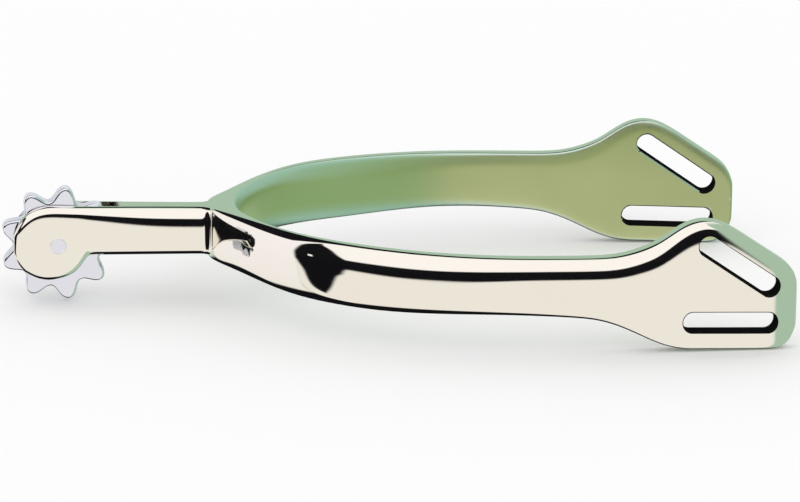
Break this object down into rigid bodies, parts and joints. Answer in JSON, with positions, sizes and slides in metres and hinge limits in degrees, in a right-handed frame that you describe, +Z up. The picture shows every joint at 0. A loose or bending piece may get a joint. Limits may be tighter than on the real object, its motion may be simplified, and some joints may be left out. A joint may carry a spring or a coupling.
{
  "type": "spur",
  "caption": "Rowel spur with a U-shaped heel band, flared end plates slotted for straps, and a forked neck that holds a toothed wheel.",
  "frame": {"origin": "centre of the bounding box, at its lowest level, so that the spur stands on Z = 0", "axes": "+X from the rowel to the ends of the band, Y across the boot's heel, +Z up when the spur is worn level"},
  "size_m": [0.1278, 0.0752, 0.0217],
  "materials": {
    "pale_gold_nickel": "mirror polished nickel silver with a pale gold tint",
    "bright_steel": "polished, a little softer than a mirror"
  },
  "bodies": {
    "spur_frame": {"heel_band": "pale_gold_nickel", "neck": "pale_gold_nickel", "rowel_pin": "bright_steel"},
    "rowel": {"rowel": "bright_steel"}
  },
  "joints": [
    {"name": "rowel_spin", "type": "hinge", "parent": "spur_frame", "child": "rowel", "pos_m": [-0.05474, 0, 0.00999], "axis": [0, 1, 0], "continuous": true}
  ]
}
